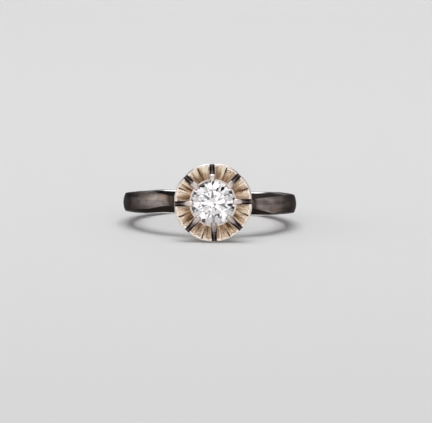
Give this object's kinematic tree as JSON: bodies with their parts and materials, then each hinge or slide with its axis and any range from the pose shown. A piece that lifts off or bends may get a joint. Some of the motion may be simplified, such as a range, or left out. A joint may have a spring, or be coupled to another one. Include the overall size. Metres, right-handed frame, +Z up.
{
  "type": "solitaire ring",
  "caption": "Finger ring with one round brilliant held by claws in a fluted illusion plate, on a tapered band with bevelled shoulders.",
  "frame": {"origin": "on the surface that the ring lies on, under the middle of its box", "axes": "+Z up from that surface, -Y the way the head faces, +X across the ring from one shoulder to the other"},
  "size_m": [0.0202, 0.0234, 0.009],
  "materials": {
    "white_gold": "satin white gold with polished edges",
    "diamond": "polished facets"
  },
  "bodies": {
    "root": {"band_and_setting": "white_gold", "diamond": "diamond"}
  },
  "joints": []
}
